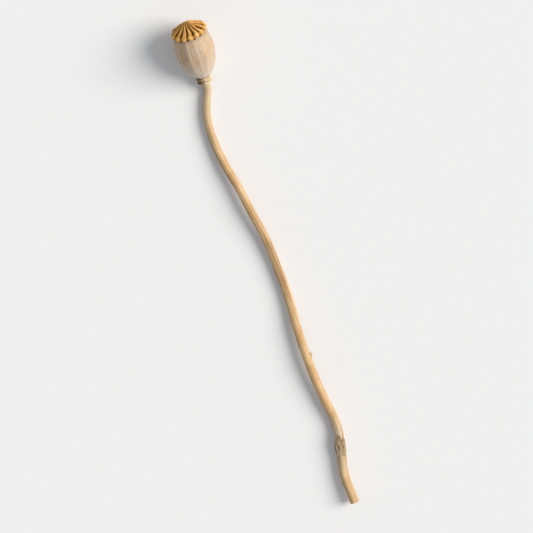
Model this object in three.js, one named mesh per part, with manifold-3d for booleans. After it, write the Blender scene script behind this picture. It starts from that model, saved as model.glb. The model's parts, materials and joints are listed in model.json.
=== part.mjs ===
// A dried poppy seed head on its cut stem, lying on a surface. Millimetres, +Z up,
// +Y from the cut end to the head. The origin is under the middle of the whole piece.
import * as THREE from "three";
import Module from "manifold-3d";
import { mergeVertices } from "three/addons/utils/BufferGeometryUtils.js";

const wasm = await Module();
wasm.setup();

// Driving dimensions
const capsuleRadius = 12.6;
const capsuleLength = 34.5;
const capsuleFootRadius = 4.1;
const rayCount = 15;
const crownRadius = 11.7;
const crownRise = 6.2;
const rayHeight = 0.75;
const rimNotch = 0.9;
const ribHeight = 0.16;
const poreRadius = 0.9;
const poreDistance = 11.2;
const receptacleLength = 6;
const receptacleRadius = 4.7;
const stemTopRadius = 2.5;
const stemFootRadius = 3.0;
const stemLength = 303;
const stemLift = 2.4;
const jointPlace = 257;
const jointSwell = 0.45;
const jointSpread = 6;
const leafLength = 17;
const leafThickness = 0.7;
const leafWrap = (Math.PI * 5) / 6;
const leafFlare = 0.16;
const headRise = 22;
const headLean = 16.5;
const gap = 0.3;

// How the head sits: its axis rises from the surface and leans to the left of the stem
const rise = THREE.MathUtils.degToRad(headRise);
const lean = THREE.MathUtils.degToRad(headLean);
const headAxis = new THREE.Vector3(-Math.sin(lean) * Math.cos(rise), Math.cos(lean) * Math.cos(rise), Math.sin(rise));

// Heights along the head's own axis, from the top of the stem
const capsuleFoot = receptacleLength + gap;
const rimHeight = receptacleLength + capsuleLength;
const capsuleTop = rimHeight + 2.8;
const poreHeight = rimHeight - 2.9;

// The capsule's flank rests on the surface, which sets the height of the stem's top
const flankPoints = [
  [0, capsuleFoot],
  [capsuleFootRadius, capsuleFoot],
  [6.9, capsuleFoot + 2.4],
  [9.3, capsuleFoot + 5.6],
  [11.2, capsuleFoot + 10.2],
  [12.3, capsuleFoot + 15.2],
  [capsuleRadius, capsuleFoot + 20.2],
  [12.3, capsuleFoot + 25.2],
  [11.5, capsuleFoot + 29.6],
  [10.7, rimHeight - 2],
  [9.9, rimHeight - 0.4],
  [8.6, rimHeight + 1.1],
  [5, capsuleTop - 0.5],
  [0, capsuleTop],
];
const flankDrop = flankPoints.map(([radius, height]) => radius * Math.cos(rise) - height * Math.sin(rise));
const stemTopHeight = Math.max(...flankDrop);

// The stem's route on the surface from its top to the cut end: x, y and the lift over its lowest line
const stemRoute = [
  [1.2, -4.2],
  [0.9, -9],
  [0.5, -14.5],
  [1.5, -26],
  [6, -40],
  [13, -54.5],
  [21.5, -69],
  [29, -83.5],
  [38, -100.5],
  [46, -120],
  [53.5, -141],
  [60, -164],
  [67.5, -186],
  [76, -206],
  [85, -225.5],
  [88, -243],
  [90, -258],
  [97, -277],
];
const liftStart = 28;
const liftSpacing = 113;

const straw = { color: 0xc79a5c, roughness: 0.75, metalness: 0 };
const bloom = { color: 0xbfa98f, roughness: 0.85, metalness: 0 };
const ochre = { color: 0xb5843a, roughness: 0.8, metalness: 0 };
const cream = { color: 0xd8bd86, roughness: 0.8, metalness: 0 };
const bark = { color: 0x8a6238, roughness: 0.9, metalness: 0 };

function piece(name, geometry, finish) {
  const mesh = new THREE.Mesh(geometry, new THREE.MeshStandardMaterial(finish));
  mesh.name = name;
  return mesh;
}

// One closed skin with shared corners, as the solid library needs it
function closedSkin(geometry) {
  const bare = geometry.clone();
  bare.deleteAttribute("normal");
  bare.deleteAttribute("uv");
  return mergeVertices(bare, 1e-4);
}

function toSolid(geometry) {
  const skin = closedSkin(geometry);
  const vertProperties = new Float32Array(skin.attributes.position.array);
  const triVerts = new Uint32Array(skin.index.array);
  const mesh = new wasm.Mesh({ numProp: 3, vertProperties, triVerts });
  return new wasm.Manifold(mesh);
}

function fromSolid(solid) {
  const mesh = solid.getMesh();
  const geometry = new THREE.BufferGeometry();
  geometry.setAttribute("position", new THREE.BufferAttribute(new Float32Array(mesh.vertProperties), 3));
  geometry.setIndex(new THREE.BufferAttribute(new Uint32Array(mesh.triVerts), 1));
  return geometry;
}

// A turned shape about +Z from [radius, height] pairs, running from the axis back to the axis
function turned(profile, segments) {
  const points = profile.map(([radius, height]) => new THREE.Vector2(radius, height));
  const geometry = new THREE.LatheGeometry(points, segments);
  geometry.rotateX(Math.PI / 2);
  return geometry;
}

function smoothProfile(profile, steps) {
  const points = profile.map(([radius, height]) => new THREE.Vector2(radius, height));
  return new THREE.SplineCurve(points).getPoints(steps).map((point) => [Math.max(point.x, 0), point.y]);
}

// Moves each corner of a turned shape by a function of its radius, angle, height and profile point
function reshape(geometry, profileLength, change) {
  const place = geometry.attributes.position;
  for (let i = 0; i < place.count; i += 1) {
    const x = place.getX(i);
    const y = place.getY(i);
    const angle = Math.atan2(y, x);
    const moved = change(Math.hypot(x, y), angle, place.getZ(i), i % profileLength);
    place.setXYZ(i, moved.radius * Math.cos(angle), moved.radius * Math.sin(angle), moved.height);
  }
  return geometry;
}

// The lowest line of the stem rises and falls gently between the places where it touches
function liftAt(length) {
  if (length < liftStart) return 0;
  return stemLift * Math.sin((Math.PI * (length - liftStart)) / liftSpacing) ** 2;
}

// The stem's radius at a length from its top, with the swollen joint that bore a leaf
function stemRadiusAt(length) {
  const joint = jointSwell * Math.exp(-(((length - jointPlace) / jointSpread) ** 2));
  return THREE.MathUtils.lerp(stemTopRadius, stemFootRadius, length / stemLength) + joint;
}

function stemCurve() {
  const flat = stemRoute.map(([x, y]) => new THREE.Vector3(x, y, 0));
  const start = new THREE.Vector3(0, 0, stemTopHeight).addScaledVector(headAxis, -gap);
  const points = [start, start.clone().addScaledVector(headAxis, -1.6)];
  let length = 0;
  flat.forEach((point, i) => {
    length += point.distanceTo(i ? flat[i - 1] : new THREE.Vector3());
    points.push(new THREE.Vector3(point.x, point.y, stemRadiusAt(length) + liftAt(length)));
  });
  return new THREE.CatmullRomCurve3(points, false, "centripetal");
}

// A point beside the curve: so far across it, over it and from the curve's start
function besideCurve(curve, across, over, length) {
  const share = THREE.MathUtils.clamp(length / curve.getLength(), 0, 1);
  const tangent = curve.getTangentAt(share);
  const side = new THREE.Vector3().crossVectors(new THREE.Vector3(0, 0, 1), tangent).normalize();
  const top = new THREE.Vector3().crossVectors(tangent, side);
  return curve.getPointAt(share).addScaledVector(side, across).addScaledVector(top, over);
}

// Bends a straight geometry along the curve: its X goes across, its Y over and its Z along
function bendAlong(geometry, curve, radiusAt) {
  const place = geometry.attributes.position;
  for (let i = 0; i < place.count; i += 1) {
    const radius = radiusAt(place.getZ(i));
    const point = besideCurve(curve, place.getX(i) * radius, place.getY(i) * radius, place.getZ(i));
    place.setXYZ(i, point.x, point.y, point.z);
  }
  return closedSkin(geometry);
}

function stem(curve) {
  const length = curve.getLength();
  const rod = new THREE.CylinderGeometry(1, 1, length, 12, 72);
  rod.rotateX(Math.PI / 2);
  rod.translate(0, 0, length / 2);
  return piece("stem", bendAlong(rod, curve, stemRadiusAt), straw);
}

// The swollen end of the stem with the two scar rings that the petals and stamens left
function receptacle() {
  const profile = [
    [0, 0],
    [stemTopRadius + 0.15, 0],
    [3.3, 0.7],
    [4.3, 1.3],
    [receptacleRadius - 0.1, 1.9],
    [4.2, 2.6],
    [3.7, 3.1],
    [4.3, 3.7],
    [receptacleRadius, 4.4],
    [4.4, 5.1],
    [capsuleFootRadius - 0.3, 5.6],
    [3.7, receptacleLength],
    [0, receptacleLength],
  ];
  return piece("receptacle", closedSkin(turned(profile, 28)), cream);
}

// The seed case, faintly ribbed, with a ring of small pores just under the crown
function capsule() {
  const wall = smoothProfile(flankPoints.slice(1, -1), 15);
  const profile = [flankPoints[0], ...wall, flankPoints.at(-1)];
  const ribbed = reshape(turned(profile, rayCount * 4), profile.length, (radius, angle, height) => {
    const share = THREE.MathUtils.clamp((height - capsuleFoot) / capsuleLength, 0, 1);
    const rib = ribHeight * Math.sin(Math.PI * share) * Math.cos(rayCount * angle);
    return { radius: radius > capsuleFootRadius ? radius + rib : radius, height };
  });
  let body = toSolid(ribbed);
  for (let i = 0; i < rayCount; i += 1) {
    const pore = new THREE.SphereGeometry(poreRadius, 6, 4);
    pore.translate(poreDistance, 0, poreHeight);
    pore.rotateZ(((i + 0.5) * 2 * Math.PI) / rayCount);
    body = body.subtract(toSolid(pore));
  }
  return piece("capsule", fromSolid(body), bloom);
}

// The woody cap of joined rays. Each point is a radius, a height and its share of a ray's rise
function crown() {
  const seat = rimHeight + gap;
  const profile = [
    [0, capsuleTop + gap, 0],
    [5, capsuleTop - 0.1, 0],
    [8.7, seat + 1.2, 0],
    [10.2, seat - 0.1, 0],
    [11, rimHeight - 1.1, 0],
    [crownRadius, rimHeight - 0.9, 0],
    [crownRadius, rimHeight - 0.1, 0.3],
    [10.5, rimHeight + 1, 0.8],
    [8.4, rimHeight + 2.3, 1],
    [6, rimHeight + 3.6, 1],
    [3.6, rimHeight + 4.9, 0.8],
    [1.6, rimHeight + crownRise - 0.3, 0.3],
    [0, rimHeight + crownRise - 0.5, 0],
  ];
  const rayed = reshape(turned(profile, rayCount * 4), profile.length, (radius, angle, height, point) => {
    const ray = (1 + Math.cos(rayCount * angle)) / 2;
    const notch = rimNotch * THREE.MathUtils.smoothstep(radius, 10.2, crownRadius) * (1 - ray);
    return { radius: radius - notch, height: height + profile[point][2] * (ray - 0.4) * rayHeight };
  });
  return piece("stigma_crown", closedSkin(rayed), ochre);
}

// A torn strip of dried leaf base that still clasps the top of the stem at its joint
function leafBase(curve) {
  const inner = 1.03 + gap / stemFootRadius;
  const outer = inner + leafThickness / stemFootRadius;
  const sheet = new THREE.Shape();
  const from = (Math.PI - leafWrap) / 2;
  const to = (Math.PI + leafWrap) / 2;
  sheet.absarc(0, 0, outer, from, to, false);
  sheet.absarc(0, 0, inner, to, from, true);
  const strip = new THREE.ExtrudeGeometry(sheet, { depth: 1, steps: 5, bevelEnabled: false, curveSegments: 8 });
  strip.scale(1, 1, leafLength);
  strip.translate(0, 0, jointPlace - leafLength / 2);
  const flare = (length) => 1 + leafFlare * ((jointPlace + leafLength / 2 - length) / leafLength);
  return piece("leaf_base", bendAlong(strip, curve, (length) => stemRadiusAt(length) * flare(length)), bark);
}

const seedHead = new THREE.Group();
const route = stemCurve();
seedHead.add(stem(route), leafBase(route));

const head = new THREE.Group();
head.add(receptacle(), capsule(), crown());
head.position.set(0, 0, stemTopHeight);
head.quaternion.setFromUnitVectors(new THREE.Vector3(0, 0, 1), headAxis);
seedHead.add(head);

// Puts the origin on the surface, under the middle of the whole piece
seedHead.updateMatrixWorld(true);
const box = new THREE.Box3().setFromObject(seedHead, true);
const middle = box.getCenter(new THREE.Vector3());
seedHead.position.set(-middle.x, -middle.y, -box.min.z);

export default seedHead;
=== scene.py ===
import json
import math
import random

import bmesh
import bpy
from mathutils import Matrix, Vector, noise

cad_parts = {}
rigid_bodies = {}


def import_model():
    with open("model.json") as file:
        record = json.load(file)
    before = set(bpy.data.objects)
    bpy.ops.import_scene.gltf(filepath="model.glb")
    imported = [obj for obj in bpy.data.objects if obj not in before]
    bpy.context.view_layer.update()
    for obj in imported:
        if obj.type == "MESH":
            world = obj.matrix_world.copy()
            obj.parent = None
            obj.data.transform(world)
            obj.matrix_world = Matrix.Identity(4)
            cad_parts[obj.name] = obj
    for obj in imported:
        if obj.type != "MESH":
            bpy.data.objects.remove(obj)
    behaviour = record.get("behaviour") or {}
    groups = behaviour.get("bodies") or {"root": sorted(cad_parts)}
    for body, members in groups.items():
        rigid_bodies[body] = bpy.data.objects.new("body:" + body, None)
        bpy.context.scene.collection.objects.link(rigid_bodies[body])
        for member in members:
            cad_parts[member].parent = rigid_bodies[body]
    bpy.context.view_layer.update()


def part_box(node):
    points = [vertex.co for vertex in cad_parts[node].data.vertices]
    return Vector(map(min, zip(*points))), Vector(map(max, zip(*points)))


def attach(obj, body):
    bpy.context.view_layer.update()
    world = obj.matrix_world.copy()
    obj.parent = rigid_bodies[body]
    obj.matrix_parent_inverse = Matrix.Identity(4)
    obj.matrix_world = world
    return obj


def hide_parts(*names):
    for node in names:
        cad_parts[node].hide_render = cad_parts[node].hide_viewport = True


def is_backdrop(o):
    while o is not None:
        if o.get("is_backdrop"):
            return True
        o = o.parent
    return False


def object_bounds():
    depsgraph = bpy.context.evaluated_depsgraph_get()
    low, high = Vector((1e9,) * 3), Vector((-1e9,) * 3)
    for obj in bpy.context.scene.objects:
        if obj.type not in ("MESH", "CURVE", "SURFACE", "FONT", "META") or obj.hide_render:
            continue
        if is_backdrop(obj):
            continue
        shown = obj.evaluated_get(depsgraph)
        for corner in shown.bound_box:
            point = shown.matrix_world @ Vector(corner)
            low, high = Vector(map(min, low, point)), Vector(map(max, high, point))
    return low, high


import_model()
mm = 0.001

# How the head sits on the stem: the same figures as in the CAD source, in metres and degrees
seat = {
    "rise": 22.0,
    "lean": 16.5,
    "collarMiddle": 3.3 * mm,  # up the head's axis from the stem's top
    "receptacleLength": 6.0 * mm,
    "capsuleLength": 34.5 * mm,
    "rayCount": 15,
}
rise = math.radians(seat["rise"])
lean = math.radians(seat["lean"])
headAxis = Vector((
    -math.sin(lean) * math.cos(rise), math.cos(lean) * math.cos(rise), math.sin(rise)))
headTurn = Vector((0, 0, 1)).rotation_difference(headAxis)
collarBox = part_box("receptacle")
stemTop = (collarBox[0] + collarBox[1]) / 2 - headAxis * seat["collarMiddle"]
capsuleFoot = seat["receptacleLength"]
rimHeight = seat["receptacleLength"] + seat["capsuleLength"]
pitch = 2 * math.pi / seat["rayCount"]


# Small helpers for modelling by operator

def clearSelection():
    bpy.ops.object.select_all(action="DESELECT")


def named(name):
    piece = bpy.context.active_object
    piece.name = name
    piece.data.name = name
    return piece


def edit(piece):
    clearSelection()
    bpy.context.view_layer.objects.active = piece
    piece.select_set(True)
    bpy.ops.object.mode_set(mode="EDIT")
    bpy.ops.mesh.select_mode(type="VERT")
    return bmesh.from_edit_mesh(piece.data)


def leaveEdit():
    bpy.ops.object.mode_set(mode="OBJECT")


def pick(piece, test):
    mesh = bmesh.from_edit_mesh(piece.data)
    for vert in mesh.verts:
        vert.select = test(vert.co)
    mesh.select_flush_mode()
    bmesh.update_edit_mesh(piece.data, loop_triangles=False, destructive=False)


def pickFaces(piece, test):
    bpy.ops.mesh.select_mode(type="FACE")
    mesh = bmesh.from_edit_mesh(piece.data)
    for face in mesh.faces:
        face.select_set(test(face))
    bmesh.update_edit_mesh(piece.data, loop_triangles=False, destructive=False)


# How far a point lies from a direction about Z, in radians either way
def turnFrom(co, angle):
    return abs(math.remainder(math.atan2(co.y, co.x) - angle, 2 * math.pi))


# How far a point lies from the Z axis
def outFrom(co):
    return math.hypot(co.x, co.y)


def shift(x=0.0, y=0.0, z=0.0):
    bpy.ops.transform.translate(value=(x, y, z))


def grow(x, y, z=1.0, centre=(0, 0, 0)):
    bpy.ops.transform.resize(value=(x, y, z), center_override=centre)


def extrudeBy(x, y, z):
    bpy.ops.mesh.extrude_region_move(TRANSFORM_OT_translate={"value": (x, y, z)})


def extrudeRing(up, scale):
    extrudeBy(0, 0, up)
    grow(scale, scale)


# Starts a wedge, one repeat wide, as an open arc about Z
def startWedge(name, sides, radius, height, middle):
    clearSelection()
    bpy.ops.mesh.primitive_circle_add(
        vertices=sides * seat["rayCount"], radius=radius, fill_type="NOTHING", location=(0, 0, height))
    piece = named(name)
    bpy.ops.object.transform_apply(location=True)
    edit(piece)
    reach = pitch / 2 + math.radians(0.5)  # a little over, so that both edge points stay
    pick(piece, lambda co: turnFrom(co, middle) > reach)
    bpy.ops.mesh.delete(type="VERT")
    bpy.ops.mesh.select_all(action="SELECT")
    return piece


# Copies a finished wedge all the way round and sews the copies together
def repeatRound(piece):
    bpy.ops.mesh.select_mode(type="VERT")
    bpy.ops.mesh.select_all(action="SELECT")
    for i in range(seat["rayCount"] - 1):
        bpy.ops.mesh.duplicate()
        bpy.ops.transform.rotate(value=pitch, orient_axis="Z", center_override=(0, 0, 0))
    bpy.ops.mesh.select_all(action="SELECT")
    bpy.ops.mesh.remove_doubles(threshold=0.02 * mm)


# Shuts the open ends of a skin, whose last rings have shrunk to nearly nothing
def closePoles(piece):
    mesh = edit(piece)
    for height in sorted({round(vert.co.z, 5) for vert in mesh.verts if vert.is_boundary}):
        mesh = bmesh.from_edit_mesh(piece.data)
        for vert in mesh.verts:
            vert.select = vert.is_boundary and abs(vert.co.z - height) < 0.1 * mm
        mesh.select_flush_mode()
        bmesh.update_edit_mesh(piece.data)
        bpy.ops.mesh.merge(type="CENTER")
    bpy.ops.mesh.select_all(action="SELECT")
    bpy.ops.mesh.normals_make_consistent(inside=False)
    leaveEdit()


# Extrudes the picked ring through a list of [radius, height] pairs
def followProfile(profile):
    for (radius, height), (nextRadius, nextHeight) in zip(profile, profile[1:]):
        extrudeRing(nextHeight - height, nextRadius / radius)


# Rounds a list of [radius, height] pairs into many short steps, as a bent batten would
def batten(points, steps):
    found = []
    for i in range(len(points) - 1):
        before = points[max(i - 1, 0)]
        start, end = points[i], points[i + 1]
        after = points[min(i + 2, len(points) - 1)]
        for k in range(steps):
            t = k / steps
            found.append([
                0.5 * (2 * start[j] + (end[j] - before[j]) * t
                       + (2 * before[j] - 5 * start[j] + 4 * end[j] - after[j]) * t * t
                       + (3 * start[j] - before[j] - 3 * end[j] + after[j]) * t ** 3)
                for j in (0, 1)
            ])
    found.append(list(points[-1]))
    return found


def smoothShare(value, low, high):
    share = min(max((value - low) / (high - low), 0), 1)
    return share * share * (3 - 2 * share)


def applyAll(piece):
    clearSelection()
    bpy.context.view_layer.objects.active = piece
    piece.select_set(True)
    for modifier in list(piece.modifiers):
        bpy.ops.object.modifier_apply(modifier=modifier.name)


def subdivided(piece, levels):
    modifier = piece.modifiers.new("smooth", "SUBSURF")
    modifier.levels = levels
    modifier.render_levels = levels
    applyAll(piece)


# Uneven growth: clouds push the surface about, stretched along an axis by an empty
def uneven(piece, size, strength, direction="NORMAL", stretch=1.0, place=(0, 0, 0)):
    clouds = bpy.data.textures.new(piece.name + "Clouds", "CLOUDS")
    clouds.noise_scale = size
    clouds.noise_depth = 2
    guide = bpy.data.objects.new("guide", None)
    bpy.context.scene.collection.objects.link(guide)
    guide.location = place
    guide.scale = (1, 1, stretch)
    bpy.context.view_layer.update()
    modifier = piece.modifiers.new("uneven", "DISPLACE")
    modifier.texture = clouds
    modifier.texture_coords = "OBJECT"
    modifier.texture_coords_object = guide
    modifier.direction = direction
    modifier.strength = strength
    modifier.mid_level = 0.5
    applyAll(piece)
    bpy.data.objects.remove(guide)
    bpy.data.textures.remove(clouds)


def markValues(piece, name, worth):
    layer = piece.data.attributes.new(name, "FLOAT", "POINT")
    for i, vert in enumerate(piece.data.vertices):
        layer.data[i].value = worth(vert.co)


# Puts a piece that was modelled upright about the origin onto the stem's top
def seatOnStem(piece):
    clearSelection()
    bpy.context.view_layer.objects.active = piece
    piece.select_set(True)
    piece.rotation_mode = "QUATERNION"
    piece.rotation_quaternion = headTurn
    piece.location = stemTop
    bpy.ops.object.transform_apply(location=True, rotation=True, scale=True)


def finishPiece(piece, finish, node):
    clearSelection()
    bpy.context.view_layer.objects.active = piece
    piece.select_set(True)
    bpy.ops.object.shade_smooth()
    piece.data.materials.clear()
    piece.data.materials.append(finish)
    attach(piece, "root")
    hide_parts(node)
    print("made", piece.name, len(piece.data.polygons), "faces")


# Node groups that several finishes share

def newGroup(name, inputs, outputs):
    group = bpy.data.node_groups.new(name, "ShaderNodeTree")
    for label, kind, value in inputs:
        socket = group.interface.new_socket(label, in_out="INPUT", socket_type=kind)
        if value is not None:
            socket.default_value = value
    for label, kind in outputs:
        group.interface.new_socket(label, in_out="OUTPUT", socket_type=kind)
    start = group.nodes.new("NodeGroupInput")
    end = group.nodes.new("NodeGroupOutput")
    return group, start, end


def addNode(tree, kind, values=None, **settings):
    node = tree.nodes.new(kind)
    for key, value in settings.items():
        setattr(node, key, value)
    for key, value in (values or {}).items():
        node.inputs[key].default_value = value
    return node


def join(tree, start, end):
    tree.links.new(start, end)


def maths(tree, operation, first, second=None):
    node = addNode(tree, "ShaderNodeMath", operation=operation)
    for i, value in enumerate((first, second)):
        if isinstance(value, (int, float)):
            node.inputs[i].default_value = value
        elif value is not None:
            join(tree, value, node.inputs[i])
    return node.outputs[0]


def times(tree, value, share):
    return maths(tree, "MULTIPLY", value, share)


def spread(tree, value, low, high, toLow=0.0, toHigh=1.0):
    node = addNode(tree, "ShaderNodeMapRange", {1: low, 2: high, 3: toLow, 4: toHigh})
    join(tree, value, node.inputs[0])
    return node.outputs[0]


def blendColour(tree, share, first, second, kind="MIX"):
    node = addNode(tree, "ShaderNodeMix", data_type="RGBA", blend_type=kind)
    for socket, value in ((node.inputs[0], share), (node.inputs[6], first), (node.inputs[7], second)):
        if isinstance(value, (int, float)):
            socket.default_value = value
        elif isinstance(value, tuple):
            socket.default_value = value if len(value) == 4 else (*value, 1)
        else:
            join(tree, value, socket)
    return node.outputs[2]


# Turns a wrapped UV into a place on a straight rod, so that a pattern has no seam
def makeRodPlace():
    group, start, end = newGroup(
        "rodPlace",
        [("Radius", "NodeSocketFloat", 2.7 * mm), ("Length", "NodeSocketFloat", 0.3)],
        [("Vector", "NodeSocketVector"), ("Along", "NodeSocketFloat")],
    )
    wrap = addNode(group, "ShaderNodeUVMap", uv_map="UVMap")
    parts = addNode(group, "ShaderNodeSeparateXYZ")
    join(group, wrap.outputs[0], parts.inputs[0])
    turn = maths(group, "MULTIPLY", parts.outputs[0], 2 * math.pi)
    across = maths(group, "MULTIPLY", maths(group, "COSINE", turn), start.outputs["Radius"])
    over = maths(group, "MULTIPLY", maths(group, "SINE", turn), start.outputs["Radius"])
    along = maths(group, "MULTIPLY", parts.outputs[1], start.outputs["Length"])
    whole = addNode(group, "ShaderNodeCombineXYZ")
    for i, part in enumerate((across, over, along)):
        join(group, part, whole.inputs[i])
    join(group, whole.outputs[0], end.inputs["Vector"])
    join(group, parts.outputs[1], end.inputs["Along"])
    return group


# Long fine fibres: noise drawn out along Z
def makeFibres():
    group, start, end = newGroup(
        "fibres",
        [("Vector", "NodeSocketVector", None), ("Across", "NodeSocketFloat", 2200.0),
         ("Along", "NodeSocketFloat", 60.0), ("Roughen", "NodeSocketFloat", 0.6)],
        [("Fine", "NodeSocketFloat"), ("Broad", "NodeSocketFloat")],
    )
    for label, share, depth in (("Fine", 1.0, 4.0), ("Broad", 0.22, 2.0)):
        size = addNode(group, "ShaderNodeCombineXYZ")
        across = maths(group, "MULTIPLY", start.outputs["Across"], share)
        along = maths(group, "MULTIPLY", start.outputs["Along"], share)
        join(group, across, size.inputs[0])
        join(group, across, size.inputs[1])
        join(group, along, size.inputs[2])
        drawn = addNode(group, "ShaderNodeVectorMath", operation="MULTIPLY")
        join(group, start.outputs["Vector"], drawn.inputs[0])
        join(group, size.outputs[0], drawn.inputs[1])
        grain = addNode(group, "ShaderNodeTexNoise", {"Scale": 1.0, "Detail": depth})
        join(group, drawn.outputs[0], grain.inputs["Vector"])
        join(group, start.outputs["Roughen"], grain.inputs["Roughness"])
        join(group, grain.outputs[0], end.inputs[label])
    return group


# Small dark flecks, sparse and of uneven size
def makeFlecks():
    group, start, end = newGroup(
        "flecks",
        [("Vector", "NodeSocketVector", None), ("Scale", "NodeSocketFloat", 900.0),
         ("Spread", "NodeSocketFloat", 0.16)],
        [("Mask", "NodeSocketFloat")],
    )
    dots = addNode(group, "ShaderNodeTexVoronoi", {"Randomness": 1.0})
    join(group, start.outputs["Vector"], dots.inputs["Vector"])
    join(group, start.outputs["Scale"], dots.inputs["Scale"])
    where = addNode(group, "ShaderNodeTexNoise", {"Detail": 2.0})
    join(group, start.outputs["Vector"], where.inputs["Vector"])
    join(group, maths(group, "MULTIPLY", start.outputs["Scale"], 0.3), where.inputs["Scale"])
    size = maths(group, "MULTIPLY", spread(group, where.outputs[0], 0.5, 0.72), start.outputs["Spread"])
    near = maths(group, "SUBTRACT", size, dots.outputs["Distance"])
    join(group, spread(group, near, 0.0, 0.06), end.inputs["Mask"])
    return group


# Soft stains and weathering, two sizes of cloud in one mask
def makeWeather():
    group, start, end = newGroup(
        "weather",
        [("Vector", "NodeSocketVector", None), ("Scale", "NodeSocketFloat", 120.0),
         ("From", "NodeSocketFloat", 0.42), ("To", "NodeSocketFloat", 0.68)],
        [("Mask", "NodeSocketFloat")],
    )
    cloud = addNode(group, "ShaderNodeTexNoise", {"Detail": 5.0, "Roughness": 0.62, "Distortion": 0.4})
    join(group, start.outputs["Vector"], cloud.inputs["Vector"])
    join(group, start.outputs["Scale"], cloud.inputs["Scale"])
    edge = addNode(group, "ShaderNodeMapRange", interpolation_type="SMOOTHSTEP")
    join(group, cloud.outputs[0], edge.inputs[0])
    join(group, start.outputs["From"], edge.inputs[1])
    join(group, start.outputs["To"], edge.inputs[2])
    join(group, edge.outputs[0], end.inputs["Mask"])
    return group


# Straightens a pattern about the head's axis: along the meridians, or out along the rays
def makeRoundPlace():
    group, start, end = newGroup(
        "roundPlace",
        [("Vector", "NodeSocketVector", None), ("Radius", "NodeSocketFloat", 12 * mm)],
        [("Meridian", "NodeSocketVector"), ("Ray", "NodeSocketVector"), ("Height", "NodeSocketFloat"),
         ("Out", "NodeSocketFloat")],
    )
    parts = addNode(group, "ShaderNodeSeparateXYZ")
    join(group, start.outputs["Vector"], parts.inputs[0])
    flat = addNode(group, "ShaderNodeCombineXYZ")
    join(group, parts.outputs[0], flat.inputs[0])
    join(group, parts.outputs[1], flat.inputs[1])
    out = addNode(group, "ShaderNodeVectorMath", operation="LENGTH")
    join(group, flat.outputs[0], out.inputs[0])
    unit = addNode(group, "ShaderNodeVectorMath", operation="NORMALIZE")
    join(group, flat.outputs[0], unit.inputs[0])
    ring = addNode(group, "ShaderNodeVectorMath", operation="SCALE")
    join(group, unit.outputs[0], ring.inputs[0])
    join(group, start.outputs["Radius"], ring.inputs["Scale"])
    turned = addNode(group, "ShaderNodeSeparateXYZ")
    join(group, ring.outputs[0], turned.inputs[0])
    for label, third in (("Meridian", parts.outputs[2]), ("Ray", out.outputs["Value"])):
        whole = addNode(group, "ShaderNodeCombineXYZ")
        join(group, turned.outputs[0], whole.inputs[0])
        join(group, turned.outputs[1], whole.inputs[1])
        join(group, third, whole.inputs[2])
        join(group, whole.outputs[0], end.inputs[label])
    join(group, parts.outputs[2], end.inputs["Height"])
    join(group, out.outputs["Value"], end.inputs["Out"])
    return group


rodPlace = makeRodPlace()
roundPlace = makeRoundPlace()
fibres = makeFibres()
flecks = makeFlecks()
weather = makeWeather()


def placeGroup(tree, group, vector=None, **values):
    node = tree.nodes.new("ShaderNodeGroup")
    node.node_tree = group
    for key, value in values.items():
        node.inputs[key].default_value = value
    if vector is not None:
        join(tree, vector, node.inputs["Vector"])
    return node


def newFinish(name, roughness, sheen=0.0):
    finish = bpy.data.materials.new(name)
    finish.use_nodes = True
    tree = finish.node_tree
    shader = tree.nodes["Principled BSDF"]
    shader.inputs["Roughness"].default_value = roughness
    shader.inputs["Specular IOR Level"].default_value = 0.3
    shader.inputs["Sheen Weight"].default_value = sheen
    return finish, tree, shader


def addBump(tree, shader, height, distance, strength=1.0):
    bump = addNode(tree, "ShaderNodeBump", {"Distance": distance, "Strength": strength})
    join(tree, height, bump.inputs["Height"])
    join(tree, bump.outputs[0], shader.inputs["Normal"])


# Coordinates about the head's own axis, in metres from the top of the stem
def headPlace(tree):
    found = addNode(tree, "ShaderNodeTexCoord")
    turned = addNode(tree, "ShaderNodeMapping", vector_type="TEXTURE")
    turned.inputs["Location"].default_value = stemTop
    turned.inputs["Rotation"].default_value = headTurn.to_euler()
    join(tree, found.outputs["Object"], turned.inputs["Vector"])
    return turned.outputs[0]


print("frame and shared groups ready")


# The stem

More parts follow.
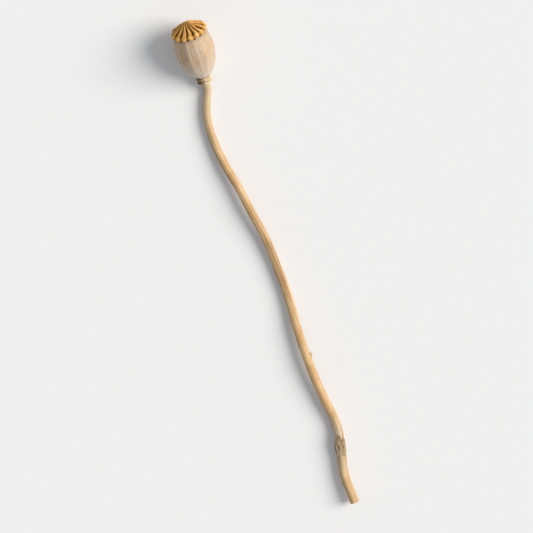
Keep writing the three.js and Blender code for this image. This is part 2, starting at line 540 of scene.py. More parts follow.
stemShape = {
    "length": 303 * mm,
    "sides": 48,
    "ringCuts": (19, 17),  # each cut of the straw is cut again
    "flutes": (0.018, 0.014, 0.012),  # nine broad ones, fourteen finer, and chance
    "topRadius": 2.5,  # millimetres, because the straw is first shaped 1 mm in radius
    "footRadius": 3.0,
    "jointPlace": 257 * mm,
    "jointSwell": 0.45,  # millimetres
    "jointWidth": 6 * mm,
    "jointRings": [  # place about the joint in millimetres, and how much it stands out
        (-2.4, 1.07), (-1.2, 1.13), (0, 1.05), (1.2, 0.95), (2.4, 1.04),
    ],
    "lift": 2.4 * mm,  # low arches between the points it rests on
    "liftStart": 28 * mm,
    "liftSpacing": 113 * mm,
    "uneven": ((5 * mm, 0.35 * mm), (1.1 * mm, 0.12 * mm)),  # size and strength
    "clear": 0.24 * mm,  # room for the bark's own unevenness
    "jointClear": 0.3 * mm,  # and for the rings at the joint
    "stub": {
        "place": 195 * mm,
        "side": 1,
        "width": 0.36 * mm,
        "height": 1.5 * mm,
        "steps": [  # out, towards the head, how much narrower
            (0.1, 0.2, 0.9), (0.11, 0.7, 0.9), (0.07, 0.9, 0.88),
            (0.03, 0.8, 0.86), (0.0, 0.6, 0.8), (0.0, 0.25, 0.5),
        ],
    },
    "cutEnd": [  # each step in from the rim: how much narrower, how much deeper in millimetres
        (0.94, -0.15), (0.9, -0.05), (0.9, 0.25), (0.86, 0.35),
        (0.8, 0.15), (0.75, 0.3), (0.6, 0.1), (0.4, 0.1),
    ],
    "route": [  # across and along from the stem's top, millimetres
        (1.2, -4.2), (0.9, -9), (0.5, -14.5), (1.5, -26), (6, -40), (13, -54.5),
        (21.5, -69), (29, -83.5), (38, -100.5), (46, -120), (53.5, -141), (60, -164),
        (67.5, -186), (76, -206), (85, -225.5), (88, -243), (90, -258), (97, -277),
    ],
}


def stemRadiusAt(length):
    shape = stemShape
    joint = shape["jointSwell"] * math.exp(-(((length - shape["jointPlace"]) / shape["jointWidth"]) ** 2))
    share = min(length / shape["length"], 1)
    return shape["topRadius"] + (shape["footRadius"] - shape["topRadius"]) * share + joint


def stemLiftAt(length):
    shape = stemShape
    if length < shape["liftStart"]:
        return 0
    turns = math.pi * (length - shape["liftStart"]) / shape["liftSpacing"]
    joint = shape["jointClear"] * math.exp(-(((length - shape["jointPlace"]) / (15 * mm)) ** 2))
    return shape["lift"] * math.sin(turns) ** 2 + joint


def makeStemLine():
    points = [stemTop.copy(), stemTop - headAxis * 1.8 * mm]
    lengths = [0, 1.8 * mm]
    last = Vector((stemTop.x, stemTop.y))
    length = 0
    for x, y in stemShape["route"]:
        place = Vector((stemTop.x + x * mm, stemTop.y + y * mm))
        length += (place - last).length
        last = place
        height = stemRadiusAt(length) * mm + stemLiftAt(length) + stemShape["clear"]
        points.append(Vector((place.x, place.y, height)))
        lengths.append(length)
    line = bpy.data.curves.new("stemLine", "CURVE")
    line.dimensions = "3D"
    line.twist_mode = "Z_UP"
    line.resolution_u = 24
    line.use_radius = True
    spline = line.splines.new("BEZIER")
    spline.bezier_points.add(len(points) - 1)
    for place, at, point in zip(points, lengths, spline.bezier_points):
        point.co = place
        point.handle_left_type = "AUTO"
        point.handle_right_type = "AUTO"
        point.radius = stemRadiusAt(at)
    carrier = bpy.data.objects.new("stemLine", line)
    bpy.context.scene.collection.objects.link(carrier)
    bpy.context.view_layer.update()
    return carrier


def layAlong(piece, carrier):
    modifier = piece.modifiers.new("lay", "CURVE")
    modifier.object = carrier
    modifier.deform_axis = "POS_Z"
    applyAll(piece)


stemLine = makeStemLine()
stemLength = stemLine.data.splines[0].calc_length()
print("stem line", round(stemLength, 4))


# The dried stub of a side bud, drawn out of the stem's own side and bent towards the head
def growStub(piece):
    stub = stemShape["stub"]
    place = Vector((stub["side"] * mm, 0, stub["place"]))

    def isAtStub(face):
        away = face.calc_center_median() - place
        return abs(away.z) < stub["height"] and away.xy.length < stub["width"]

    pickFaces(piece, isAtStub)
    for out, up, share in stub["steps"]:
        move = (stub["side"] * out * mm, 0, -up * mm)
        extrudeBy(*move)
        place += Vector(move)
        grow(share, share, share, place)


def makeStem():
    shape = stemShape
    chance = random.Random(7)
    clearSelection()
    bpy.ops.mesh.primitive_cylinder_add(
        vertices=shape["sides"], radius=mm, depth=stemLength, end_fill_type="NGON",
        location=(0, 0, stemLength / 2))
    piece = named("stem_straw")
    bpy.ops.object.transform_apply(location=True)
    edit(piece)
    bpy.ops.mesh.select_all(action="DESELECT")
    bpy.ops.mesh.select_mode(type="EDGE")
    for cuts in shape["ringCuts"]:  # rings along the whole straw
        mesh = bmesh.from_edit_mesh(piece.data)
        for line in mesh.edges:
            across = abs(line.verts[0].co.z - line.verts[1].co.z)
            line.select_set(across > 0.2 * mm)
        bmesh.update_edit_mesh(piece.data)
        bpy.ops.mesh.subdivide(number_cuts=cuts)
    bpy.ops.mesh.select_mode(type="VERT")
    sector = 2 * math.pi / shape["sides"]
    broad, finer, odd = shape["flutes"]
    for i in range(shape["sides"]):  # uneven lengthwise flutes
        angle = i * sector
        flute = 1 + broad * math.cos(9 * angle) + finer * math.cos(14 * angle + 1)
        flute += chance.uniform(-odd, odd)
        pick(piece, lambda co: turnFrom(co, angle) < 0.4 * sector)
        grow(flute, flute)
    for offset, swell in shape["jointRings"]:  # scarred rings round the joint
        place = shape["jointPlace"] + offset * mm
        pick(piece, lambda co: abs(co.z - place) < 0.62 * mm)
        grow(swell, swell)
    growStub(piece)
    foot = stemLength - 0.1 * mm
    pickFaces(piece, lambda face: face.normal.z > 0.9 and face.calc_center_median().z > foot)
    for share, sink in shape["cutEnd"]:  # a rind about a sunken pith
        extrudeRing(-sink * mm, share)
    bpy.ops.mesh.merge(type="CENTER")
    leaveEdit()
    markValues(piece, "stub", lambda co: smoothShare(outFrom(co) / mm, 1.08, 1.3))
    markValues(piece, "cut", lambda co: smoothShare(0.94 - outFrom(co) / mm, 0.0, 0.1))
    layAlong(piece, stemLine)
    for size, strength in shape["uneven"]:
        uneven(piece, size, strength)
    return piece


strawLook = {
    "pale": (0.73, 0.53, 0.30),
    "golden": (0.55, 0.32, 0.13),
    "ripe": (0.44, 0.225, 0.075),
    "brown": (0.20, 0.09, 0.03),
    "grey": (0.56, 0.46, 0.32),
    "pith": (0.66, 0.54, 0.36),
    "relief": 0.35 * mm,
}


def strawFinish():
    look = strawLook
    finish, tree, shader = newFinish("strawStem", 0.62, 0.1)
    rod = placeGroup(tree, rodPlace, Length=2 * stemLength)
    threads = placeGroup(tree, fibres, rod.outputs["Vector"])
    stains = placeGroup(tree, weather, rod.outputs["Vector"], Scale=38.0, From=0.4, To=0.64)
    patches = placeGroup(tree, weather, rod.outputs["Vector"], Scale=210.0, From=0.52, To=0.7)
    dots = placeGroup(tree, flecks, rod.outputs["Vector"], Scale=480.0, Spread=0.22)
    ground = spread(tree, threads.outputs["Fine"], 0.34, 0.62)
    tint = blendColour(tree, ground, look["golden"], look["pale"])
    tint = blendColour(tree, times(tree, stains.outputs["Mask"], 0.5), tint, look["ripe"])
    tint = blendColour(tree, times(tree, patches.outputs["Mask"], 0.4), tint, look["ripe"])
    streak = spread(tree, threads.outputs["Broad"], 0.53, 0.68, 0, 0.75)
    tint = blendColour(tree, streak, tint, look["brown"])
    top = spread(tree, rod.outputs["Along"], 0.5, 0.58, 0.75, 0.0)
    tint = blendColour(tree, top, tint, look["grey"])
    joint = 0.5 + 0.5 * stemShape["jointPlace"] / stemLength
    away = maths(tree, "ABSOLUTE", maths(tree, "SUBTRACT", rod.outputs["Along"], joint))
    dull = spread(tree, away, 0.012, 0.04, 0.7, 0.0)  # the bark is greyer and cracked about the joint
    tint = blendColour(tree, dull, tint, look["grey"])
    near = spread(tree, away, 0.008, 0.026, 0.8, 0.0)
    cracks = times(tree, near, spread(tree, threads.outputs["Broad"], 0.46, 0.62))
    tint = blendColour(tree, cracks, tint, look["brown"])
    stub = addNode(tree, "ShaderNodeAttribute", attribute_name="stub")
    tint = blendColour(tree, times(tree, stub.outputs["Fac"], 0.85), tint, look["brown"])
    cut = addNode(tree, "ShaderNodeAttribute", attribute_name="cut")
    found = addNode(tree, "ShaderNodeTexCoord")
    pores = placeGroup(tree, weather, found.outputs["Object"], Scale=1900.0, From=0.35, To=0.6)
    pith = blendColour(tree, pores.outputs["Mask"], look["pith"], look["golden"])
    tint = blendColour(tree, cut.outputs["Fac"], tint, pith)
    tint = blendColour(tree, times(tree, dots.outputs["Mask"], 0.6), tint, look["brown"])
    join(tree, tint, shader.inputs["Base Color"])
    rough = spread(tree, threads.outputs["Fine"], 0.3, 0.7, 0.5, 0.78)
    join(tree, rough, shader.inputs["Roughness"])
    addBump(tree, shader, threads.outputs["Fine"], look["relief"], 0.8)
    return finish


finishPiece(makeStem(), strawFinish(), "stem")


# The receptacle, with the scar rings that petals and stamens left

collarShape = {
    "sides": 72,
    "profile": [  # radius and height, millimetres
        (2.6, 0.0), (2.8, 0.4), (3.7, 0.8), (4.7, 1.15), (5.0, 1.65), (4.7, 2.2), (3.95, 2.6),
        (3.9, 3.05), (4.6, 3.4), (5.05, 3.95), (4.95, 4.6), (4.3, 5.15), (3.9, 5.8), (3.9, 6.5),
    ],
    "scarRings": (1.6, 4.2),  # heights, millimetres
    "scarNotch": (0.88, 0.97),
    "scarWidth": 0.09,  # radians either way
    "shadedFolds": (0.7, 3.0, 5.5),  # heights, millimetres, of the folds darkened with painted shade
}


def makeCollar():
    shape = collarShape
    chance = random.Random(11)
    steps = batten([[radius * mm, height * mm] for radius, height in shape["profile"]], 3)
    clearSelection()
    bpy.ops.mesh.primitive_circle_add(
        vertices=shape["sides"], radius=steps[0][0], fill_type="NOTHING", location=(0, 0, 0))
    piece = named("receptacle_rings")
    edit(piece)
    bpy.ops.mesh.select_all(action="SELECT")
    followProfile(steps)
    extrudeRing(-0.5 * mm, 0.5)
    extrudeRing(-0.1 * mm, 0.2)
    pick(piece, lambda co: co.z < 0.001 * mm)
    extrudeRing(0.3 * mm, 0.5)
    extrudeRing(0.1 * mm, 0.2)
    for ring in shape["scarRings"]:  # the scars left by petals and stamens, as uneven notches
        for i in range(shape["sides"] // 4):
            angle = chance.uniform(0, 2 * math.pi)
            sink = chance.uniform(*shape["scarNotch"])
            pick(piece, lambda co: (
                abs(co.z - ring * mm) < 0.55 * mm and turnFrom(co, angle) < shape["scarWidth"]))
            grow(sink, sink)
    leaveEdit()
    subdivided(piece, 1)
    closePoles(piece)
    # Painted shade: a dark band in each fold, between the rings and where the receptacle meets stem and
    # capsule
    markValues(piece, "scar", lambda co: max(
        math.exp(-((co.z / mm - fold) / 0.35) ** 2) for fold in shape["shadedFolds"]))
    uneven(piece, 2.5 * mm, 0.3 * mm)
    uneven(piece, 0.55 * mm, 0.12 * mm, stretch=0.6)
    seatOnStem(piece)
    return piece


collarLook = {
    "cream": (0.88, 0.71, 0.46),
    "tan": (0.57, 0.41, 0.23),
    "scar": (0.12, 0.055, 0.02),
    "shadeAndStainWay": (0.85, 0.53),  # painted shade on the side away from the key light, mottled with an old brown stain
    "shadeAndStainFrom": -1.1 * mm,
    "shadeAndStainTo": -3.0 * mm,
    "relief": 0.3 * mm,
}


def collarFinish():
    look = collarLook
    finish, tree, shader = newFinish("scarRings", 0.75, 0.05)
    place = headPlace(tree)
    stains = placeGroup(tree, weather, place, Scale=420.0)
    dots = placeGroup(tree, flecks, place, Scale=1100.0)
    turned = placeGroup(tree, roundPlace, place)
    threads = placeGroup(tree, fibres, turned.outputs["Meridian"], Across=1300.0, Along=260.0)
    scar = addNode(tree, "ShaderNodeAttribute", attribute_name="scar")
    tint = blendColour(tree, stains.outputs["Mask"], look["cream"], look["tan"])
    streak = spread(tree, threads.outputs["Fine"], 0.5, 0.68, 0, 0.6)
    tint = blendColour(tree, streak, tint, look["scar"])
    # Painted shade in the folds; the same dark brown also draws the real streaks and flecks
    tint = blendColour(tree, times(tree, scar.outputs["Fac"], 0.75), tint, look["scar"])
    # Painted shade, partly a real stain: the side away from the key light darkens, mottled by the stain
    # clouds
    parts = addNode(tree, "ShaderNodeSeparateXYZ")
    join(tree, place, parts.inputs[0])
    across, over = (times(tree, parts.outputs[i], look["shadeAndStainWay"][i]) for i in (0, 1))
    side = spread(tree, maths(tree, "ADD", across, over), look["shadeAndStainFrom"], look["shadeAndStainTo"])
    side = times(tree, side, spread(tree, stains.outputs["Mask"], 0, 1, 0.7, 1.0))
    tint = blendColour(tree, side, tint, look["scar"])
    tint = blendColour(tree, dots.outputs["Mask"], tint, look["scar"])
    join(tree, tint, shader.inputs["Base Color"])
    join(tree, spread(tree, stains.outputs["Mask"], 0, 1, 0.65, 0.85), shader.inputs["Roughness"])
    addBump(tree, shader, threads.outputs["Fine"], look["relief"], 0.9)
    return finish


finishPiece(makeCollar(), collarFinish(), "receptacle")


# The capsule

capsuleShape = {
    "sidesPerRib": 12,
    "ribHeight": 0.013,  # of the radius
    "ribChance": (0.988, 1.01),
    "pore": {
        "height": rimHeight - 2.1 * mm,
        "radius": 10.9 * mm,  # of the wall there
        "reach": 0.75 * mm,
        "edge": 0.1 * mm,
        "depth": 1.1 * mm,
    },
    "profile": [  # radius and height over the capsule's foot, millimetres
        (0.6, 0.0), (3.9, 0.15), (5.3, 1.0), (7.0, 2.4), (9.3, 5.6),
        (11.1, 10.2), (12.2, 15.2), (12.5, 20.2), (12.2, 25.2), (11.5, 29.6),
        (10.8, 32.5), (10.2, 34.0), (9.0, 34.4), (5, 34.5), (0.6, 34.5),
    ],
}


# 0 on the middle line of a ray, 1 halfway to the next
def angleFromRay(co):
    return abs(math.remainder(math.atan2(co.y, co.x), pitch)) / (pitch / 2)


def makeCapsule():
    shape = capsuleShape
    pore = shape["pore"]
    chance = random.Random(23)
    steps = batten([[radius * mm, capsuleFoot + height * mm] for radius, height in shape["profile"]], 3)
    piece = startWedge("capsule_wall", shape["sidesPerRib"], steps[0][0], steps[0][1], pitch / 2)
    followProfile(steps)
    for k in range(shape["sidesPerRib"] // 2 + 1):  # shallow ribs, one under each ray
        offset = 2 * k / shape["sidesPerRib"]
        rib = 1 + shape["ribHeight"] * math.cos(math.pi * offset)
        pick(piece, lambda co: (
            capsuleFoot + 4 * mm < co.z < rimHeight - mm and abs(angleFromRay(co) - offset) < 0.08))
        grow(rib, rib)
    outward = Vector((math.cos(pitch / 2), math.sin(pitch / 2), 0))
    middle = outward * pore["radius"] + Vector((0, 0, pore["height"]))
    pickFaces(piece, lambda face: (face.calc_center_median() - middle).length < pore["reach"])
    bpy.ops.mesh.inset(thickness=pore["edge"])
    extrudeBy(*(-outward * pore["depth"]))
    repeatRound(piece)
    for i in range(seat["rayCount"]):  # the ribs stand out unevenly
        angle = i * pitch
        rib = chance.uniform(*shape["ribChance"])
        pick(piece, lambda co: (
            capsuleFoot + 5 * mm < co.z < rimHeight - 2 * mm and turnFrom(co, angle) < 0.2 * pitch))
        grow(rib, rib)
    leaveEdit()
    markValues(piece, "rib", lambda co: 1 - angleFromRay(co))
    # Marks the inside of the pore pockets, which gets painted shade
    markValues(piece, "pore", lambda co: 1.0 if (
        abs(co.z - pore["height"]) < 1.3 * mm and outFrom(co) < 10.3 * mm) else 0.0)
    subdivided(piece, 1)
    closePoles(piece)
    uneven(piece, 8 * mm, 0.5 * mm)
    uneven(piece, 1.6 * mm, 0.17 * mm, stretch=5)
    seatOnStem(piece)
    return piece


capsuleLook = {
    "tan": (0.50, 0.335, 0.20),
    "cream": (0.60, 0.435, 0.285),
    "bloom": (0.56, 0.465, 0.37),
    "base": (0.70, 0.60, 0.49),
    # dark brown of the streaks, rib lines and patches, also used for a painted shadow
    "darkMarksAndShade": (0.27, 0.18, 0.11),
    "speck": (0.10, 0.055, 0.03),
    "pore": (0.05, 0.028, 0.014),
    "relief": 0.2 * mm,
}


def capsuleFinish():
    look = capsuleLook
    finish, tree, shader = newFinish("capsuleSkin", 0.72, 0.15)
    place = headPlace(tree)
    turned = placeGroup(tree, roundPlace, place)
    height = turned.outputs["Height"]
    threads = placeGroup(tree, fibres, turned.outputs["Meridian"], Across=1500.0, Along=55.0)
    clouds = placeGroup(tree, weather, place, Scale=110.0, From=0.4, To=0.66)
    patches = placeGroup(tree, weather, place, Scale=330.0, From=0.5, To=0.7)
    dots = placeGroup(tree, flecks, place, Scale=750.0, Spread=0.17)
    rib = addNode(tree, "ShaderNodeAttribute", attribute_name="rib")
    pore = addNode(tree, "ShaderNodeAttribute", attribute_name="pore")
    ground = spread(tree, threads.outputs["Broad"], 0.36, 0.64)
    tint = blendColour(tree, ground, look["tan"], look["cream"])
    waxy = times(tree, clouds.outputs["Mask"], 0.55)
    tint = blendColour(tree, waxy, tint, look["bloom"])
    # Paler toward the foot: partly the pale waxy bloom there, partly painted light
    low = spread(tree, height, capsuleFoot + mm, capsuleFoot + 17 * mm, 0.85, 0.0)
    tint = blendColour(tree, low, tint, look["base"])
    streak = spread(tree, threads.outputs["Fine"], 0.55, 0.75, 0, 0.45)
    tint = blendColour(tree, streak, tint, look["darkMarksAndShade"])
    line = times(tree, spread(tree, rib.outputs["Fac"], 0.8, 1.0), 0.3)
    tint = blendColour(tree, line, tint, look["darkMarksAndShade"])
    tint = blendColour(tree, times(tree, patches.outputs["Mask"], 0.25), tint, look["darkMarksAndShade"])
    # Painted shadow: the capsule's top darkens just under the crown's rim, where the crown casts its
    # shadow
    under = spread(tree, height, rimHeight - 5 * mm, rimHeight - mm, 0.0, 0.6)
    tint = blendColour(tree, under, tint, look["darkMarksAndShade"])
    tint = blendColour(tree, times(tree, dots.outputs["Mask"], 0.75), tint, look["speck"])
    # Painted shade: the inside of each pore pocket is near black, as deep in a hole
    tint = blendColour(tree, pore.outputs["Fac"], tint, look["pore"])
    join(tree, tint, shader.inputs["Base Color"])
    join(tree, spread(tree, waxy, 0, 1, 0.6, 0.88), shader.inputs["Roughness"])
    grain = maths(tree, "ADD", threads.outputs["Broad"], times(tree, threads.outputs["Fine"], 0.4))
    addBump(tree, shader, grain, look["relief"], 0.8)
    return finish


finishPiece(makeCapsule(), capsuleFinish(), "capsule")


# The crown of joined rays

crownShape = {
    "sidesPerRay": 12,
    "rings": 24,
    "rayWidth": 0.76,  # of the space between two rays
    "radius": 11.9,  # this and the next three in millimetres
    "rise": 6.0,
    "depth": 1.4,
    "furrow": 0.16,
    "notch": 0.10,
    "lip": [  # round the rim and back in, radius and height in millimetres
        (11.95, 39.4), (11.75, 38.95), (11.3, 38.75), (10.8, 39.0),
        (10.2, 39.7), (8, 40.0), (4, 40.3), (0.4, 40.4),
    ],
    "scallops": ((9.9, 0.2), (10.6, 0.35), (11.2, 0.45)),  # from which radius, and how much of the notch
    "rayLength": (0.965, 1.03),
    "rayDrop": 0.25 * mm,
    "uneven": [  # size, strength, direction and place
        (4.5 * mm, 1.0 * mm, "X", (0.02, 0, 0)),
        (4.5 * mm, 1.0 * mm, "Y", (0, 0.03, 0)),
        (3 * mm, 0.6 * mm, "Z", (0, 0, 0.04)),
        (0.9 * mm, 0.2 * mm, "NORMAL", (0, 0, 0)),
        (0.35 * mm, 0.09 * mm, "NORMAL", (0, 0, 0)),
    ],
}


# Height of a ray's ridge over the stem's top, millimetres
def crownTop(radius):
    shape = crownShape
    share = radius / shape["radius"]
    droop = 0.75 * max(0, (radius - 10.4) / 1.5) ** 2
    hollow = 0.5 * math.exp(-((radius / 1.3) ** 2))
    return rimHeight / mm + shape["rise"] * (1 - share ** 1.25) - droop - hollow


# 1 on a ray's middle line, 0 in the gap beside it
def rayBody(offset):
    return math.sqrt(max(0, 1 - (offset / crownShape["rayWidth"]) ** 2))


def makeCrown():
    shape = crownShape
    chance = random.Random(5)
    span = shape["radius"] - 0.4
    rings = [0.4 + span * i / shape["rings"] for i in range(shape["rings"] + 1)]
    steps = [[radius * mm, crownTop(radius) * mm] for radius in rings]
    piece = startWedge("crown_rays", shape["sidesPerRay"], steps[0][0], steps[0][1], 0)
    followProfile(steps + [[radius * mm, height * mm] for radius, height in shape["lip"]])
    half = shape["sidesPerRay"] // 2
    for radius in rings[2:]:  # sinks the gaps beside the ray, ring by ring
        reach = smoothShare(radius, 0.8, 3.2) * (1 - 0.72 * smoothShare(radius, 9.3, 11.2))
        ridge = crownTop(radius) * mm

        def isOnRing(co, offset):
            return (
                abs(outFrom(co) - radius * mm) < 0.1 * mm
                and abs(co.z - ridge) < 0.02 * mm
                and abs(angleFromRay(co) - offset) < 0.08)

        for k in range(1, half + 1):
            offset = k / half
            pick(piece, lambda co: isOnRing(co, offset))
            shift(z=-shape["depth"] * mm * reach * (1 - rayBody(offset)))
        pick(piece, lambda co: isOnRing(co, 0))
        shift(z=-shape["furrow"] * mm * smoothShare(radius, 2, 5))
    for k in range(1, half + 1):  # scallops the rim
        offset = k / half
        for reach, share in shape["scallops"]:
            notch = 1 - shape["notch"] * share * offset ** 2
            pick(piece, lambda co: (
                outFrom(co) > reach * mm * notch and abs(angleFromRay(co) - offset) < 0.08))
            grow(notch, notch)
    repeatRound(piece)
    for i in range(seat["rayCount"]):  # no two rays are alike
        angle = i * pitch
        lengthen = chance.uniform(*shape["rayLength"])
        lift = chance.uniform(-1, 1) * shape["rayDrop"]
        pick(piece, lambda co: outFrom(co) > 6.5 * mm and turnFrom(co, angle) < 0.4 * pitch)
        grow(lengthen, lengthen)
        shift(z=lift)
    leaveEdit()
    markValues(piece, "gap", lambda co: 1 - rayBody(angleFromRay(co)))
    markValues(piece, "furrow", lambda co: smoothShare(0.3 - angleFromRay(co), 0, 0.25))

    # Marks the underside of the rim's lip, which gets painted shade
    def underRim(co):
        if outFrom(co) < 9.4 * mm:
            return 0.0
        ridge = crownTop(min(outFrom(co) / mm, shape["radius"]))
        return smoothShare(ridge - co.z / mm, 0.5, 1.6)

    markValues(piece, "under", underRim)
    subdivided(piece, 1)
    closePoles(piece)
    for size, strength, direction, place in shape["uneven"]:
        uneven(piece, size, strength, direction, place=place)
    seatOnStem(piece)
    return piece


crownLook = {
    "gold": (0.90, 0.455, 0.09),
    "light": (0.95, 0.62, 0.22),
    "brown": (0.39, 0.135, 0.014),
    # near black: painted shade in the gaps between the rays
    "gap": (0.085, 0.03, 0.006),
    "relief": 0.3 * mm,
}


def crownFinish():
    look = crownLook
    finish, tree, shader = newFinish("crownRays", 0.7)
    place = headPlace(tree)
    turned = placeGroup(tree, roundPlace, place)
    stains = placeGroup(tree, weather, place, Scale=260.0)
    threads = placeGroup(tree, fibres, turned.outputs["Ray"], Across=1700.0, Along=160.0)
    grit = placeGroup(tree, weather, place, Scale=2300.0, From=0.42, To=0.62)
    gap = addNode(tree, "ShaderNodeAttribute", attribute_name="gap")
    furrow = addNode(tree, "ShaderNodeAttribute", attribute_name="furrow")
    under = addNode(tree, "ShaderNodeAttribute", attribute_name="under")
    ground = spread(tree, threads.outputs["Fine"], 0.38, 0.62)
    tint = blendColour(tree, ground, look["gold"], look["light"])
    tint = blendColour(tree, times(tree, stains.outputs["Mask"], 0.5), tint, look["brown"])
    tint = blendColour(tree, times(tree, grit.outputs["Mask"], 0.16), tint, look["brown"])
    inner = spread(tree, turned.outputs["Out"], 9.8 * mm, 11.2 * mm, 1.0, 0.0)
    middle = times(tree, times(tree, furrow.outputs["Fac"], inner), 0.3)
    tint = blendColour(tree, middle, tint, look["brown"])
    # The rays' flanks turn brown, partly their own colour and partly painted shade; the gaps between them
    # get painted shade, near black
    side = times(tree, spread(tree, gap.outputs["Fac"], 0.07, 0.45), inner)
    tint = blendColour(tree, side, tint, look["brown"])
    deep = times(tree, spread(tree, gap.outputs["Fac"], 0.45, 0.95), inner)
    tint = blendColour(tree, deep, tint, look["gap"])
    # Painted shade under the rim's lip
    tint = blendColour(tree, under.outputs["Fac"], tint, look["brown"])
    join(tree, tint, shader.inputs["Base Color"])
    join(tree, spread(tree, threads.outputs["Fine"], 0.3, 0.7, 0.6, 0.85), shader.inputs["Roughness"])
    grain = maths(tree, "ADD", threads.outputs["Fine"], times(tree, grit.outputs["Mask"], 0.5))
    addBump(tree, shader, grain, look["relief"], 0.8)
    return finish


finishPiece(makeCrown(), crownFinish(), "stigma_crown")


# The torn leaf base at the joint

leafShape = {
    "length": 17 * mm,
    "wrap": 165,  # degrees
    "sides": 110,
    "cuts": 39,
    "radius": 1.06,  # this, the flare and the thickness in stem radii
    "flare": 0.2,
    "flareSteps": 12,
    "rootSteps": 7,
    "thickness": 0.09,
}


# Where the withered sheath is gone: torn in long teeth at its free end, ragged at its two sides
def isTornAway(angle, along):
    half = math.radians(leafShape["wrap"] / 2)
    ragged = noise.noise(Vector((3.1, along * 5, math.copysign(2, angle))))
    slit = noise.noise(Vector((angle * 7, along * 1.2, 5.5)))
    tooth = noise.noise(Vector((angle * 5.5, 0, 0.3))) + abs(math.remainder(angle * 2.3 + 0.4, 1))
    tip = 0.14 + 0.34 * tooth
    return (
        abs(angle) > half * (0.42 + 0.6 * along + 0.35 * ragged)
        or along < tip
        or (slit > 0.42 and tip + 0.12 < along < 0.7)
        or along > 0.97 + 0.05 * ragged)


def makeLeafBase():
    shape = leafShape
    middle = stemShape["jointPlace"]
    first = middle - shape["length"] / 2
    clearSelection()
    bpy.ops.mesh.primitive_cylinder_add(
        vertices=shape["sides"], radius=shape["radius"] * mm, depth=shape["length"],
        end_fill_type="NOTHING", location=(0, 0, middle))
    piece = named("leaf_base_shreds")
    bpy.ops.object.transform_apply(location=True)
    mesh = edit(piece)
    bpy.ops.mesh.select_all(action="DESELECT")
    bpy.ops.mesh.select_mode(type="EDGE")
    for line in mesh.edges:
        line.select_set(abs(line.verts[0].co.z - line.verts[1].co.z) > mm)
    bmesh.update_edit_mesh(piece.data)
    bpy.ops.mesh.subdivide(number_cuts=shape["cuts"])

    def angleOf(co):
        return math.remainder(math.atan2(co.y, co.x) - math.pi / 2, 2 * math.pi)

    def alongOf(co):
        return (co.z - first) / shape["length"]

    pickFaces(piece, lambda face: isTornAway(
        angleOf(face.calc_center_median()), alongOf(face.calc_center_median())))
    bpy.ops.mesh.delete(type="FACE")
    bpy.ops.mesh.select_mode(type="VERT")
    pick(piece, lambda co: alongOf(co) > 0.8)
    bpy.ops.mesh.select_linked()
    bpy.ops.mesh.select_all(action="INVERT")
    bpy.ops.mesh.delete(type="VERT")  # crumbs that hang on nothing
    standOff = 1 + shape["flare"] / shape["flareSteps"]
    for i in range(shape["flareSteps"]):  # the free end stands off the stem, its sides most of all
        limit = 0.75 - i * 0.055
        pick(piece, lambda co: alongOf(co) < limit)
        grow(standOff, standOff)
        pick(piece, lambda co: alongOf(co) < limit and abs(angleOf(co)) > 0.75)
        grow(1.012, 1.012)
    for i in range(shape["rootSteps"]):  # the other end grows out of the stem
        limit = 0.8 + i * 0.028
        pick(piece, lambda co: alongOf(co) > limit)
        grow(0.972, 0.972)
    leaveEdit()
    half = math.radians(shape["wrap"] / 2)
    markValues(piece, "brink", lambda co: max(
        smoothShare(abs(angleOf(co)) / half, 0.45, 0.9),
        smoothShare(0.45 - alongOf(co), 0, 0.25)))
    wall = piece.modifiers.new("thickness", "SOLIDIFY")
    wall.thickness = shape["thickness"] * mm
    wall.offset = 1
    applyAll(piece)
    subdivided(piece, 1)
    uneven(piece, 0.8 * mm, 0.22 * mm, stretch=6)
    layAlong(piece, stemLine)
    uneven(piece, 2.5 * mm, 0.5 * mm)
    return piece


leafLook = {
    "grey": (0.50, 0.41, 0.29),
    "tan": (0.58, 0.41, 0.21),
    "brown": (0.12, 0.055, 0.022),
    "relief": 0.4 * mm,
}


def leafFinish():
    look = leafLook
    finish, tree, shader = newFinish("driedLeaf", 0.8, 0.1)
    rod = placeGroup(tree, rodPlace, Length=2 * leafShape["length"])
    threads = placeGroup(tree, fibres, rod.outputs["Vector"], Across=1900.0, Along=70.0)
    found = addNode(tree, "ShaderNodeTexCoord")
    stains = placeGroup(tree, weather, found.outputs["Object"], Scale=300.0)
    ground = spread(tree, threads.outputs["Fine"], 0.35, 0.65)
    tint = blendColour(tree, ground, look["tan"], look["grey"])
    vein = spread(tree, threads.outputs["Broad"], 0.52, 0.66, 0, 0.75)
    tint = blendColour(tree, vein, tint, look["brown"])
    brink = addNode(tree, "ShaderNodeAttribute", attribute_name="brink")
    patchy = spread(tree, stains.outputs["Mask"], 0, 1, 0.35, 1.0)
    worn = times(tree, brink.outputs["Fac"], patchy)
    tint = blendColour(tree, worn, tint, look["brown"])
    join(tree, tint, shader.inputs["Base Color"])
    join(tree, spread(tree, threads.outputs["Fine"], 0.3, 0.7, 0.65, 0.9), shader.inputs["Roughness"])
    addBump(tree, shader, threads.outputs["Fine"], look["relief"], 0.8)
    return finish


finishPiece(makeLeafBase(), leafFinish(), "leaf_base")
bpy.data.objects.remove(stemLine)


# The studio

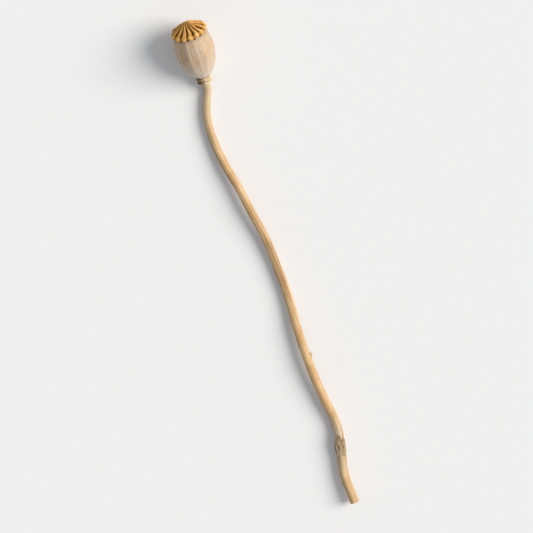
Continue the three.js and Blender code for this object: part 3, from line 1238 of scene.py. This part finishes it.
studio = {
    "floor": (0.84, 0.85, 0.865),
    "floorSize": 8.0,
    "sky": (0.955, 0.975, 1.0),
    "skyLight": 0.42,
    "skySeen": 0.86,
    "keyStrength": 3.45,
    "keySoftness": 38,  # degrees across
    "keyHeight": 35,
    "keyTurn": 18,
    "keyColour": (1.0, 0.965, 0.92),
    "cameraTilt": 10.4,
    "cameraDistance": 2.4,
    "frameShare": 0.93,
}


def makeFloor():
    clearSelection()
    bpy.ops.mesh.primitive_plane_add(size=studio["floorSize"], location=(0, 0, -0.05 * mm))
    floor = named("floor")
    bpy.ops.object.transform_apply(location=True)
    finish, tree, shader = newFinish("paleFloor", 0.9)
    shader.inputs["Base Color"].default_value = (*studio["floor"], 1)
    floor.data.materials.append(finish)
    floor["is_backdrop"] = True


def makeLights():
    world = bpy.context.scene.world or bpy.data.worlds.new("studio")
    bpy.context.scene.world = world
    world.use_nodes = True
    tree = world.node_tree
    sky = tree.nodes["Background"]
    sky.inputs[0].default_value = (*studio["sky"], 1)
    path = tree.nodes.new("ShaderNodeLightPath")
    strength = spread(tree, path.outputs["Is Camera Ray"], 0, 1, studio["skyLight"], studio["skySeen"])
    join(tree, strength, sky.inputs[1])
    height = math.radians(studio["keyHeight"])
    turn = math.radians(studio["keyTurn"])
    towards = Vector((
        math.cos(height) * math.cos(turn), math.cos(height) * math.sin(turn), math.sin(height)))
    bpy.ops.object.light_add(type="SUN", location=towards)
    key = bpy.context.active_object
    key.name = "softWindow"
    key.data.energy = studio["keyStrength"]
    key.data.angle = math.radians(studio["keySoftness"])
    key.data.color = studio["keyColour"]
    key.rotation_euler = towards.to_track_quat("Z", "Y").to_euler()
    bpy.context.scene.view_settings.view_transform = "Standard"


def makeCamera():
    low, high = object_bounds()
    tilt = math.radians(studio["cameraTilt"])
    distance = studio["cameraDistance"]
    target = (low + high) / 2
    bpy.ops.object.camera_add(
        location=target + distance * Vector((0, math.sin(tilt), math.cos(tilt))),
        rotation=(-tilt, 0, 0))
    camera = bpy.context.active_object
    camera.name = "camera"
    side = (high.y - low.y) / studio["frameShare"]
    camera.data.sensor_width = 36
    camera.data.lens = 36 * distance / side
    camera.data.clip_end = 20
    bpy.context.scene.camera = camera


makeFloor()
makeLights()
makeCamera()
print("studio ready")
